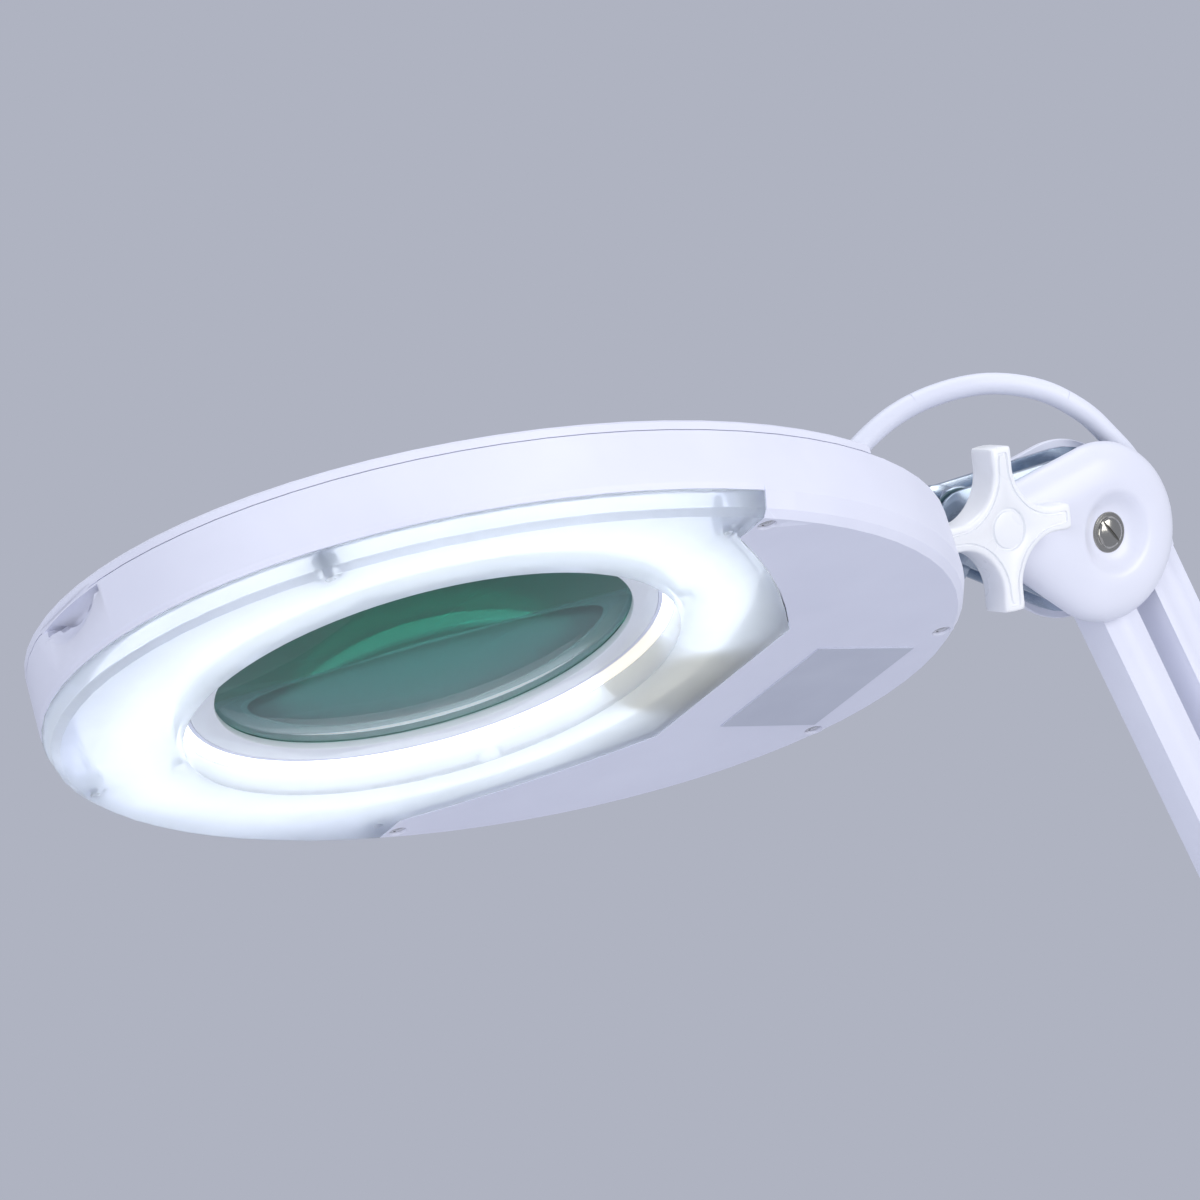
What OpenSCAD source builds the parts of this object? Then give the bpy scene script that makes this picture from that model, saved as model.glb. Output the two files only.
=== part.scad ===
// Bench magnifying lamp: a ring-lit lens head on a parallel-link arm with a table clamp.
// Frame: origin on the clamp's table face under the post, +Z up, the arm swings in the XZ plane.

/* [Lens and ring tube] */
// Radius of the lens glass
lens_r = 64.5; // [60:0.5:66]
// Radius of curvature of both lens faces
lens_curve_r = 348; // [300:1:500]
// Thickness of the lens at its edge
lens_edge = 4; // [3:0.5:5]
// Height of the lens edge above the head's underside
lens_seat_z = 12.5; // [11:0.5:14]
// Radius of the ring tube's centre line
ring_r = 89; // [88:0.5:90]
// Radius of the ring tube's glass
ring_tube_r = 14.3; // [12:0.1:14.3]
// Height of the ring tube's centre above the head's underside
ring_tube_z = 16.8; // [16.5:0.1:17.2]

/* [Head] */
// Half the length of the head's underside
head_half_len = 146.2; // [140:0.1:160]
// Half the width of the head's underside
head_half_wid = 110; // [109:0.1:120]
// Distance from the lens axis to the middle of the head
head_shift = 31.4; // [28:0.1:35]
// How far the wall stands outside the underside's edge
wall_out = 4.1; // [3:0.1:6]
// Height of the diffuser's wall
diffuser_h = 7; // [6:0.5:9]
// Height of the seam under the lid
seam_z = 25.6; // [25:0.1:27]
// Height of the lid's rim
lid_rim_h = 3.3; // [2.5:0.1:4]
// Rise of the crowned top from its rim to its middle
crown_h = 13; // [12.8:0.1:14]
// Wall thickness of the moulded shells
shell_t = 2.2; // [1.8:0.1:2.6]
// Distance from the lens axis to the lid's straight edge
lid_edge_x = 100; // [98:0.5:108]
// Radius of the round opening under the lens
opening_r = 75; // [74:0.5:76]
// Distance from the lens axis to the diffuser's straight edge
diffuser_edge_x = 105.8; // [105:0.1:109]
// Half the length of the diffuser's straight edge
diffuser_edge_half = 37.8; // [34:0.1:42]
// Roll of the head about its stem
head_roll = 30; // [0:1:35]

/* [Head joint] */
// Height of the stem above the head's underside
stem_z = 18.75; // [17:0.05:19]
// Radius of the hollow stem
stem_r = 5; // [4:0.5:5.5]
// Radius of the wire way through the stem
stem_bore_r = 3.2; // [2:0.1:3.5]
// Distance from the lens axis to the tilt bolt
bolt_reach = 200; // [198:0.5:206]
// Height of the tilt bolt above the stem
bolt_rise = 32.2; // [30:0.1:36]
// Radius of the tilt bolt
bolt_r = 4; // [3:0.5:4.5]
// Thickness of the clevis sheet
clevis_t = 2.2; // [1.5:0.1:2.5]
// Radius of the clevis ears
ear_r = 12.5; // [11:0.5:13]
// Radius to the tips of the four-lobed knob
knob_r = 27; // [24:0.5:28]
// Thickness of the knob's lobes
knob_t = 11; // [8:0.5:13]

/* [Arm] */
// Width of the square arm tubes
tube_w = 14; // [12:0.5:14]
// Wall of the square arm tubes
tube_t = 1.3; // [1:0.1:2]
// Pivot to pivot length of the upper tubes
upper_len = 380; // [300:1:420]
// Slope of the upper tubes below level
upper_angle = 55.5; // [40:0.5:65]
// Pivot to pivot length of the lower tubes
lower_len = 380; // [320:1:420]
// Slope of the lower tubes above level
lower_angle = 70; // [60:0.5:80]
// Distance between the two pivots of a link
link_gap = 24; // [23:0.1:26]
// Radius of the pivot pins
pin_r = 3; // [2:0.1:3.4]
// Thickness of the steel link plates
plate_t = 2; // [1.5:0.1:2.5]
// Gap on each side of a tube between the plates
plate_gap = 0.2; // [0.2:0.05:0.3]
// Radius of the round knuckle covers
cover_r = 29; // [28.5:0.1:31]
// Wall of the knuckle covers
cover_t = 1.8; // [1.4:0.1:2.2]
// Distance from the head knuckle's middle back to the tilt bolt
knuckle_reach = 55.3; // [54:0.1:60]
// Distance between the middles of the elbow's two pivot pairs
elbow_step = 32; // [31:0.5:38]
// Radius of the balance springs
spring_r = 4.6; // [3:0.1:4.8]

/* [Base and clamp] */
// Height of the base knuckle above the table
base_h = 86; // [84:1:110]
// Radius of the swivel post
post_r = 8; // [6:0.5:8]
// Outer radius of the swivel bush
bush_r = 17; // [16:0.5:20]
// Height of the swivel bush
bush_h = 40; // [34:1:40]
// Width of the clamp
clamp_w = 46; // [40:1:60]
// Thickness of the clamp's steel
clamp_t = 5; // [4:0.5:6]
// Opening of the clamp's jaws
clamp_open = 62; // [55:1:70]
// Reach of the clamp's jaws over the table
clamp_reach = 58; // [54:1:70]
// Radius of the clamp screw
screw_r = 5; // [4:0.5:6]
// Radius of the clamp's pad
pad_r = 15; // [12:0.5:18]
// Half the length of the clamp's cross bar
handle_half = 32; // [26:1:40]

/* [Cords] */
// Radius of the mains cord
cord_r = 3.5; // [3:0.1:3.8]
// Mean radius of the coiled lead
coil_r = 42; // [35:1:42]

/* [Hidden] */
$fn = 64;
eps = 0.01;
fit = 0.3;          // rest gap between neighbours
run = 0.05;         // radial running clearance of pins
// Link points in the arm plane, as [x, z]
function polar(r, a) = [r * cos(a), r * sin(a)];
elbow_lean = 75;
upper_gap_a = 25;
lower_gap_a = -20;
upper_v = polar(link_gap, upper_gap_a);
lower_v = polar(link_gap, lower_gap_a);
base_c = [0, base_h];
elbow_low = base_c + polar(lower_len, lower_angle);
elbow_top = elbow_low + polar(elbow_step, elbow_lean);
knuckle_mid = elbow_top - polar(upper_len, -upper_angle);
knuckle_off = [4.5, 5.5];
knuckle_c = knuckle_mid - knuckle_off;
bolt = knuckle_c + [-knuckle_reach, 1.4];
stem = [bolt[0], bolt[1] - bolt_rise];
lens = [bolt[0] - bolt_reach, -stem_z * sin(head_roll), stem[1] - stem_z * cos(head_roll)];
// Layers across the arm, measured from its middle plane
plate_in = tube_w / 2 + plate_gap;
plate_out = plate_in + plate_t;
ear_out = plate_in - 1;
ear_in = ear_out - clevis_t;
cover_in = plate_out;
cover_h = 9;
cover_floor = 4;
knob_in = 19;
plate_r = cover_r - cover_t - 0.6;
cover_tip_r = 10;
plate_tip_r = 11.5;
// Head outline
rim_z = seam_z + lid_rim_h;
clip_t = 0.6;
deck_z = ring_tube_z + ring_tube_r + clip_t;
deck_t = 1.2;
pan_r = ring_r + ring_tube_r + 1;
collar_r = lens_r + 6.5;
hinge_x = lid_edge_x + 1.5;
hinge_r = 3.4;
hinge_pin_r = 1.5;
crown_at = [0, 6, 16, 34, 60, 90];
crown_run = 106;
bevel_run = 16;
bevel_slope = 0.37;
bevel_h = bevel_run * bevel_slope;
crown_power = bevel_slope * (crown_run - bevel_run) / (crown_h - bevel_h);
function crown(s) = s < bevel_run ? bevel_slope * s
    : bevel_h + (crown_h - bevel_h) * (1 - pow(1 - (s - bevel_run) / (crown_run - bevel_run), crown_power));

// Shapes in the arm plane: points are [x, z], drawn between two depths
module slab(y0, y1) translate([0, y1, 0]) rotate([90, 0, 0]) linear_extrude(y1 - y0) children();
module rod(p, r, y0, y1) translate([p[0], y1, p[1]]) rotate([90, 0, 0]) cylinder(r = r, h = y1 - y0);
module both_sides() { children(); mirror([0, 1, 0]) children(); }
module to_head() translate(lens) rotate([-head_roll, 0, 0]) children();

// A teardrop round two circles, as points
function teardrop(c1, r1, c2, r2, n = 20) =
    let (d = c2 - c1, l = norm(d), a = atan2(d[1], d[0]), t = acos((r1 - r2) / l))
    concat([for (i = [0 : n]) c1 + polar(r1, a + t + i * (360 - 2 * t) / n)],
        [for (i = [0 : n / 2]) c2 + polar(r2, a - t + i * 2 * t / (n / 2))]);

// Rings of points joined into a closed skin
module skin(rings) {
    n = len(rings[0]);
    m = len(rings);
    pts = [for (r = rings) for (p = r) p];
    sides = [for (k = [0 : m - 2]) for (i = [0 : n - 1]) let (j = (i + 1) % n)
        each [[k * n + i, (k + 1) * n + j, k * n + j], [k * n + i, (k + 1) * n + i, (k + 1) * n + j]]];
    ends = [[for (i = [0 : n - 1]) i], [for (i = [n - 1 : -1 : 0]) (m - 1) * n + i]];
    polyhedron(points = pts, faces = concat(sides, ends));
}

// A round tube swept along points, at right angles to the route
function unit(v) = v / norm(v);
function route_dir(p, i) = unit(p[min(i + 1, len(p) - 1)] - p[max(i - 1, 0)]);
function mix(p, i, t) = let (a = p[max(i - 1, 0)], b = p[i], c = p[i + 1], d = p[min(i + 2, len(p) - 1)])
    0.5 * (2 * b + (c - a) * t + (2 * a - 5 * b + 4 * c - d) * t * t + (3 * b - a - 3 * c + d) * t * t * t);
function smooth(p, n) = [for (i = [0 : len(p) - 2]) for (k = [0 : n - 1]) mix(p, i, k / n), p[len(p) - 1]];
module tube_along(p, r, side = [1, 0, 0], sides = 10)
    skin([for (i = [0 : len(p) - 1]) let (d = route_dir(p, i), u = unit(cross(cross(d, side), d)), v = cross(d, u))
        [for (k = [0 : sides - 1]) p[i] + r * (cos(k * 360 / sides) * u + sin(k * 360 / sides) * v)]]);

// ---------------- head ----------------
function oval(out, z, n = 72) = [for (i = [0 : n - 1])
    [head_shift + (head_half_len + out) * cos(i * 360 / n), (head_half_wid + out) * sin(i * 360 / n), z]];
module oval_plate(out, z0, z1) translate([0, 0, z0]) linear_extrude(z1 - z0)
    polygon([for (p = oval(out, 0)) [p[0], p[1]]]);
module half_space(x0, x1) translate([x0, -200, -50]) cube([x1 - x0, 400, 200]);
shell_screws = [[50.3, -105], [50.3, 105], [166, -35.3], [166, 35.3]];
boss_spots = [[-77, -70.5], [-77, 70.5], [40, -100], [40, 100]];
notch_spot = [46.3, 96.8];
// Outline of the tray side of the straight edge, with the two curved shoulders
function shoulder(s) = [for (t = [0 : 0.2 : 1])
    let (a = [diffuser_edge_x, diffuser_edge_half], b = notch_spot, m = (a + b) / 2 + [4, 4])
    let (q = (1 - t) * (1 - t) * a + 2 * t * (1 - t) * m + t * t * b) [q[0], s * q[1]]];
tray_far = -200;
module tray_side(grow = 0) linear_extrude(60) offset_free(grow);
module offset_free(g) polygon(concat([for (p = shoulder(1)) p + [g, g]],
    [[notch_spot[0] + g, 160], [tray_far, 160], [tray_far, -160], [notch_spot[0] + g, -160]],
    [for (i = [5 : -1 : 0]) let (p = shoulder(-1)[i]) p + [g, -g]]));

module housing_shell() color("#e9ebf5") to_head() difference() {
    union() {
        difference() {
            skin([oval(wall_out - 0.3, diffuser_h), oval(wall_out, diffuser_h + 2), oval(wall_out, seam_z - fit)]);
            oval_plate(wall_out - shell_t, 0, 60);
        }
        difference() {
            skin([oval(0, 0), oval(wall_out * 0.55, 2), oval(wall_out, diffuser_h), oval(wall_out, seam_z - 3)]);
            translate([0, 0, shell_t]) oval_plate(wall_out - shell_t, 0, 60);
            translate([0, 0, -1]) tray_side();
        }
        for (p = [shell_screws[2], shell_screws[3]]) translate([p[0], p[1], 0]) cylinder(r = 4, h = deck_low);
        for (p = [shell_screws[0], shell_screws[1]]) translate([p[0], p[1], 0]) intersection() {
            cylinder(r = 4, h = deck_low);
            translate([-p[0], -p[1], 0]) oval_plate(wall_out - 1, 0, deck_low);
        }
    }
    for (p = shell_screws) translate([p[0], p[1], -1]) cylinder(r = 1.5, h = 30);
    for (p = shell_screws) translate([p[0], p[1], -1]) cylinder(r = 3, h = 3);
    translate([0, 0, stem_z]) rotate([0, 90, 0]) cylinder(r = stem_r + run, h = 300);
    // finger notch under the lid at the tip
    translate([head_shift - head_half_len - wall_out - 8, -19, seam_z - 4]) cube([9.6, 38, 10]);
}
deck_low = seam_z - 4.4;
// Reflector deck, lens seat and the crowned rear top
module top_cover() color("#eef0f8") to_head() {
    difference() {
        union() {
            difference() {
                oval_plate(wall_out - shell_t - fit, deck_low, seam_z - 2.4);
                translate([0, 0, deck_low - 1]) cylinder(r = pan_r - 0.5, h = 9);
            }
            intersection() {
                crown_skin(0, rim_z - 1.8 - fit, wall_out - 2 - fit, 0);
                rotate_extrude() polygon([[collar_r, lens_seat_z - 2.5], [collar_r + deck_t, lens_seat_z - 2.5],
                [collar_r + deck_t, deck_z], [ring_r + 3, deck_z], [ring_r + 10.6, deck_z - 3.6],
                [pan_r, deck_low], [pan_r + deck_t, deck_low], [pan_r + deck_t, deck_low + 2],
                [ring_r + 11.4, deck_z - 2.6], [ring_r + 3.4, deck_z + deck_t],
                [lens_r - 1, deck_z + deck_t], [lens_r - 1, deck_z], [collar_r, deck_z]]);
            }
            rotate_extrude() translate([lens_r - 1.2, lens_seat_z + lens_edge + lens_lip])
                square([collar_r - lens_r + 1.7, 2]);
            intersection() {
                difference() {
                    crown_skin(seam_z - 2.4, seam_z, wall_out - shell_t - fit, 0);
                    crown_skin(seam_z - 4, seam_z - 2.1, wall_out - shell_t - fit - 1.5, 0);
                    cylinder(r = 94, h = 60);
                }
                half_space(lid_edge_x + fit, 300);
            }
            hinge_lugs();
            for (p = [shell_screws[2], shell_screws[3]])
                translate([p[0], p[1], deck_low]) cylinder(r = 3.5, h = 4);
        }
        translate([hinge_x, -50, hinge_z]) rotate([-90, 0, 0]) cylinder(r = hinge_pin_r + run, h = 100);
        for (p = shell_screws) translate([p[0], p[1], 0]) cylinder(r = 1.5, h = deck_low + 4);
        translate([gland_x, 0, 20]) cylinder(r = gland_r + run, h = 40);
        translate([switch_x - 7.3, switch_y - 10.8, 20]) cube([14.6, 21.6, 40]);
        translate([nut_x - 1, 0, stem_z]) rotate([0, 90, 0]) cylinder(r = nut_r + 0.4, h = nut_t + 1.6);
        translate([stem_tip - 1, 0, stem_z]) rotate([0, 90, 0]) cylinder(r = sleeve_r + fit, h = 40);
    }
}
hinge_z = rim_z + crown(78) - lid_rim_h + 4.3;
gland_x = 150;
gland_r = 5.5;
switch_x = 140;
switch_y = 40;
module crown_skin(z0, z1, out, drop) skin(concat([oval(out, z0), oval(out, z1 - 1)],
    [for (s = crown_at) oval(out - 1 - s, z1 + crown(s) - drop)]));
module hinge_lugs() for (s = [-1, 1]) translate([0, s * 26, 0]) intersection() {
    translate([0, 4, 0]) rotate([90, 0, 0]) linear_extrude(8) union() {
        translate([hinge_x, hinge_z]) circle(r = hinge_r);
        polygon([[hinge_x, hinge_z + hinge_r], [hinge_x, hinge_z - 8], [hinge_x + 14, hinge_z - 8]]);
    }
    translate([hinge_x - 4, -5, 0]) cube([30, 10, 80]);
}
module lens_lid() color("#eef0f8") to_head() difference() {
    union() {
        intersection() {
            difference() {
                crown_skin(seam_z, rim_z, wall_out, 0);
                crown_skin(seam_z - 1, rim_z - 1.8, wall_out - 2, 0);
            }
            half_space(-300, lid_edge_x);
        }
        for (s = [-1, 1]) translate([0, s * 34.3, 0]) intersection() {
            translate([0, 4, 0]) rotate([90, 0, 0]) linear_extrude(8) union() {
                translate([hinge_x, hinge_z]) circle(r = hinge_r);
                polygon([[hinge_x, hinge_z + hinge_r], [hinge_x - 12, hinge_z - 4], [lid_edge_x, hinge_z - 4],
                    [lid_edge_x, hinge_z - 2]]);
            }
            translate([hinge_x - 14, -5, 0]) cube([30, 10, 80]);
        }
    }
    translate([hinge_x, -50, hinge_z]) rotate([-90, 0, 0]) cylinder(r = hinge_pin_r + run, h = 100);
    for (s = [-1, 1]) translate([hinge_x, s * 26 - 4.3, hinge_z]) rotate([-90, 0, 0])
        cylinder(r = hinge_r + fit, h = 8.6);
    translate([head_shift - head_half_len - wall_out - 8, -19, seam_z - 4]) cube([9.6, 38, 4.8]);
}
module lid_hinge_pins() color("silver") to_head() for (s = [-1, 1])
    translate([hinge_x, s * 30.15 - 9, hinge_z]) rotate([-90, 0, 0]) cylinder(r = hinge_pin_r, h = 18);
module lens_ring() color("white") to_head() difference() {
    translate([0, 0, lens_seat_z - 2.6]) cylinder(r = collar_r - run, h = lens_edge + 2.6 - 0.1, $fn = 128);
    translate([0, 0, 0]) cylinder(r = lens_r - 1.2, h = 40, $fn = 128);
    translate([0, 0, lens_seat_z - lens_lip]) cylinder(r = lens_r + fit, h = 40, $fn = 128);
}
lens_sag = lens_curve_r - sqrt(lens_curve_r * lens_curve_r - lens_r * lens_r);
function lens_drop(r) = lens_curve_r - sqrt(lens_curve_r * lens_curve_r - r * r);
lens_lip = lens_sag - lens_drop(lens_r - 1.2) + 0.02;
lens_steps = 12;
module magnifier_lens() color("#9fd8c8", 0.5) to_head() rotate_extrude($fn = 128) polygon(concat(
    [for (i = [0 : lens_steps]) let (r = lens_r * i / lens_steps) [r, lens_seat_z - lens_sag + lens_drop(r)]],
    [for (i = [lens_steps : -1 : 0]) let (r = lens_r * i / lens_steps)
        [r, lens_seat_z + lens_edge + lens_sag - lens_drop(r)]]));
cap_half = 13;
module ring_tube() color("#ffffff") to_head() rotate([0, 0, cap_half]) rotate_extrude(angle = 360 - 2 * cap_half)
    translate([ring_r, ring_tube_z]) difference() {
        circle(r = ring_tube_r);
        circle(r = ring_tube_r - 1.2);
    }
module tube_end_cap() color("#e6dcc4") to_head() rotate([0, 0, -cap_half]) rotate_extrude(angle = 2 * cap_half)
    translate([ring_r, ring_tube_z]) circle(r = ring_tube_r - 0.1);
module tube_holder() color("#f2f2ee") to_head() difference() {
    translate([ring_r + ring_tube_r + fit, -13, deck_low - 11.8]) cube([13.2, 26, 11.8]);
    translate([ring_r + ring_tube_r, 0, 14]) rotate([0, 90, 0]) cylinder(r = 2, h = 20);
}
clip_w = 10;
module tube_clips() color("silver") to_head() for (a = [90, 180, 270]) rotate([0, 0, a]) intersection() {
    rotate_extrude() translate([ring_r, ring_tube_z]) difference() {
        circle(r = ring_tube_r + clip_t);
        circle(r = ring_tube_r);
        translate([-20, -40]) square([40, 40]);
        translate([3, -20]) square([20, 40]);
    }
    translate([60, -clip_w / 2, 0]) cube([60, clip_w, 60]);
}
floor_t = 2;
inner_boss_r = 77;
lip_h = 7.6;
module tray_boss(p) translate([p[0], p[1], floor_t - eps]) difference() {
    cylinder(r = 3.6, h = 9);
    translate([0, 0, -1]) cylinder(r = 1.3, h = 20);
}
module diffuser() color("#f4fbff", 0.4) to_head() difference() {
    union() {
        intersection() {
            skin([oval(0, 0), oval(wall_out * 0.55, 2), oval(wall_out - 0.2, diffuser_h - fit)]);
            translate([0, 0, -1]) tray_side(-fit);
        }
        for (a = [45 : 90 : 315]) translate([inner_boss_r * cos(a), inner_boss_r * sin(a), 0]) cylinder(r = 4, h = 4.4);
        cylinder(r = opening_r + 1.8, h = lip_h);
    }
    translate([0, 0, -1]) cylinder(r = opening_r, h = 40);
    difference() {
        translate([0, 0, floor_t]) oval_plate(wall_out - 2.6, 0, 40);
        translate([0, 0, -1]) linear_extrude(60) difference() {
            square([700, 700], center = true);
            offset_free(-fit - 2);
        }
        cylinder(r = opening_r + 1.8, h = 40);
        for (a = [45 : 90 : 315]) translate([inner_boss_r * cos(a), inner_boss_r * sin(a), 0]) cylinder(r = 4, h = 4.4);
        for (p = boss_spots) translate([p[0], p[1], 0]) cylinder(r = 3.6, h = 30);
    }
    for (p = boss_spots) translate([p[0], p[1], -1]) cylinder(r = 1.5, h = 30);
}
module diffuser_screws() color("silver") to_head() for (p = boss_spots) translate([p[0], p[1], floor_t]) {
    cylinder(r = 1.4, h = diffuser_h + 4);
    translate([0, 0, diffuser_h - fit - floor_t]) cylinder(r = 3, h = 1.6);
}
module housing_screws() color("silver") to_head() for (p = shell_screws) translate([p[0], p[1], 0.8]) {
    difference() {
        cylinder(r = 2.9, h = 1.2);
        translate([-0.4, -2, -0.4]) cube([0.8, 4, 0.8]);
    }
    cylinder(r = 1.45, h = deck_low + 1);
}
ballast_at = [119, -42, shell_t + eps];
module ballast() color("#3a3d42") to_head() difference() {
    translate(ballast_at) cube([26, 84, 12]);
    for (y = [-38, 38]) translate([ballast_at[0] + 13, y, 0]) cylinder(r = 1.6, h = 30);
}
module terminal_block() color("#f4f4ee") to_head() difference() {
    translate([150, -13, shell_t + eps]) cube([9, 26, 9]);
    for (y = [-9 : 9 : 9]) translate([154.5, y, 6]) cylinder(r = 1.6, h = 20);
}
plate_at = [126, -24.5];
module rating_plate() color("#c8ccd8") to_head() translate([plate_at[0], plate_at[1], -0.4 - eps])
    cube([37, 55, 0.4]);
module switch_rocker() color("#f0f0f4") to_head() difference() {
    translate([switch_x - 6.8, switch_y - 10.3, crown_top(switch_x) - 7]) cube([13.6, 20.6, 9]);
    translate([switch_x - 8, switch_y, crown_top(switch_x) + 9]) rotate([0, 90, 0]) cylinder(r = 8, h = 20);
}
function crown_top(x) = seam_z + crown(head_shift + head_half_len + wall_out - x) - 0.5;
module head_gland() color("white") to_head() difference() {
    union() {
        translate([gland_x, 0, 25]) cylinder(r = gland_r, h = gland_top - 25);
        translate([gland_x, 0, gland_top - 6]) cylinder(r1 = gland_r + 3, r2 = gland_r, h = 6);
        translate([gland_x, 0, 25]) cylinder(r = gland_r + 1.5, h = 2);
    }
    translate([gland_x, 0, 0]) cylinder(r = cord_r, h = gland_top - 2);
}
gland_top = 43.4;
// Hollow stem: a collar outside the wall, a sleeve and a nut inside it
wall_x = head_shift + head_half_len + wall_out;
nut_r = 8.6;
nut_t = 6;
sleeve_r = stem_r + 0.8;
sleeve_end = wall_x - shell_t - 0.7;
nut_x = 166;
stem_tip = nut_x - 3;
module stem_part(x0, x1, r, sides = 64) to_head() translate([x0, 0, stem_z]) rotate([0, 90, 0])
    cylinder(r = r, h = x1 - x0, $fn = sides);
module swivel_stem() color("silver") difference() {
    union() {
        stem_part(stem_tip, bolt_reach + clevis_x, stem_r);
        stem_part(wall_x + fit, bolt_reach + clevis_x - clevis_t, stem_r + 3);
    }
    stem_part(stem_tip - 1, bolt_reach, stem_bore_r);
}
module stem_nut() color("silver") difference() {
    stem_part(nut_x, nut_x + nut_t, nut_r, 6);
    stem_part(nut_x - 1, nut_x + nut_t + 1, stem_r + run);
}
module stem_washer() color("silver") difference() {
    stem_part(nut_x + nut_t, sleeve_end, sleeve_r);
    stem_part(nut_x, sleeve_end + 1, stem_r + run);
}
// U-shaped clevis: a cross plate on the stem and two ears up to the bolt
clevis_x = -11.8;
module head_clevis() color("#c9d2de") difference() {
    union() {
        translate([bolt[0] + clevis_x - clevis_t, -ear_out, stem[1] - 11]) cube([clevis_t, 2 * ear_out, 22]);
        both_sides() slab(ear_in, ear_out) polygon(concat(
            [for (a = [-60 : 15 : 130]) bolt + polar(ear_r, a)],
            [[bolt[0] + clevis_x - clevis_t, stem[1] + 11], [bolt[0] + clevis_x - clevis_t, stem[1] - 11],
            [bolt[0] + clevis_x, stem[1] - 11]]));
    }
    rod(bolt, bolt_r + run, -20, 20);
    translate([bolt[0] - 30, 0, stem[1]]) rotate([0, 90, 0]) cylinder(r = stem_r + run, h = 40);
}
module friction_washers() color("#b9a66a") both_sides() difference() {
    rod(bolt, ear_r - 0.5, ear_out, plate_in);
    rod(bolt, bolt_r + run, 0, 20);
}
module tilt_bolt() color("silver") {
    rod(bolt, bolt_r, -knob_in - 5, plate_out);
    rod(bolt, bolt_r + 3.2, plate_out, plate_out + 4);
}
// ---------------- knob ----------------
lobe_tilt = 10;
module star_knob() color("white") difference() {
    union() {
        slab(-knob_in - knob_t, -knob_in) translate(bolt) difference() {
            circle(r = knob_r - 1, $fn = 96);
            for (a = [45 : 90 : 315]) rotate(a + lobe_tilt) translate([knob_r * 1.05, 0]) circle(r = knob_r * 0.6);
        }
        rod(bolt, 9, -knob_in, -cover_tip_y);
    }
    rod(bolt, bolt_r + run, -knob_in - 5.2, 0);
    rod(bolt, 6.2, -knob_in - knob_t - 1, -knob_in - knob_t + 0.8);
}
cover_tip_y = 15.3;
// ---------------- links ----------------
module link_plate(outline, holes) difference() {
    slab(plate_in, plate_out) polygon(outline);
    for (h = holes) rod(h[0], h[1], 0, 20);
}
knuckle_pivots = [knuckle_mid - upper_v / 2, knuckle_mid + upper_v / 2];
elbow_pivots_up = [elbow_top - upper_v / 2, elbow_top + upper_v / 2];
elbow_pivots_low = [elbow_low - lower_v / 2, elbow_low + lower_v / 2];
base_pivots = [base_c - lower_v / 2, base_c + lower_v / 2];
function pin_holes(c) = [for (p = c) [p, pin_r + run]];
screw_hole = 2.2;
module knuckle_plates() color("#c9d2de") both_sides() link_plate(
    teardrop(knuckle_c, plate_r, bolt, plate_tip_r), concat(pin_holes(knuckle_pivots), [[bolt, bolt_r + run]]));
elbow_mid = (elbow_low + elbow_top) / 2;
module elbow_plates() color("#c9d2de") both_sides() link_plate(
    teardrop(elbow_low, plate_r - 4, elbow_top, plate_r - 4.01),
    concat(pin_holes(elbow_pivots_low), pin_holes(elbow_pivots_up)));
module base_plates() color("#c9d2de") both_sides() difference() {
    slab(plate_in, plate_out) polygon(teardrop(base_c, plate_r, [0, base_h - 23], 13.5));
    for (p = base_pivots) rod(p, pin_r + run, 0, 20);
}
// A hollow knuckle cover: a dished dome round c1 with a tongue to c2
module cover_shape(c1, r1, c2, r2, drop, foot) skin([
    for (s = [[0, 0], [3, 0], [6, 1.5], [7.6, 3.8], [cover_h - drop, 7]])
        [for (p = teardrop(c1, r1 - s[1] - foot, c2, max(r2 - s[1] - foot, r2 * 0.35)))
            [p[0], -(cover_in + s[0] - (foot > 0 ? 0.6 : 0)), p[1]]]]);
module knuckle_cover(c1, r1, c2, r2, screw_at) difference() {
    cover_shape(c1, r1, c2, r2, 0, 0);
    translate([0, cover_t, 0]) cover_shape(c1, r1, c2, r2, 0, cover_t);
    for (p = screw_at) rod(p, r1 * 0.5, -40, -cover_in - cover_h + 1.2);
    for (p = screw_at) rod(p, screw_hole, -40, 0);
}
module cover_stud(p) {
    rod(p, 2, -cover_in - cover_h + 1.2, -plate_out);
    difference() {
        rod(p, 4.5, -cover_in - cover_h - 0.4, -cover_in - cover_h + 1.2);
        translate([p[0] - 5, -cover_in - cover_h - 1, p[1] - 0.5]) cube([10, 1.3, 1]);
    }
    difference() {
        rod(p, 3.3, -cover_in - cover_h + cover_t + 1.2, -plate_out);
        rod(p, 2, -40, 0);
    }
}
knuckle_screw = knuckle_c;
bolt_tongue = bolt + [11, 0];
module knuckle_cover_front() color("white") difference() {
    knuckle_cover(knuckle_c, cover_r, bolt_tongue, cover_tip_r, [knuckle_screw]);
    rod(bolt, 9.6, -40, 0);
}
module knuckle_cover_back() color("white") mirror([0, 1, 0]) difference() {
    knuckle_cover(knuckle_c, cover_r, bolt_tongue, cover_tip_r, [knuckle_screw]);
    rod(bolt, 9.6, -40, 0);
}
module knuckle_screws() color("silver") both_sides() cover_stud(knuckle_screw);
module pins(c) for (p = c) rod(p, pin_r, -plate_out - 0.8, plate_out + 0.8);
module knuckle_pins() color("silver") pins(knuckle_pivots);
elbow_cover_r = plate_r - 4 + cover_t + 0.6;
module elbow_cover_front() color("white")
    knuckle_cover(elbow_low, elbow_cover_r, elbow_top, elbow_cover_r - 0.01, [elbow_mid]);
module elbow_cover_back() color("white") mirror([0, 1, 0])
    knuckle_cover(elbow_low, elbow_cover_r, elbow_top, elbow_cover_r - 0.01, [elbow_mid]);
module elbow_screws() color("silver") both_sides() cover_stud(elbow_mid);
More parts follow.
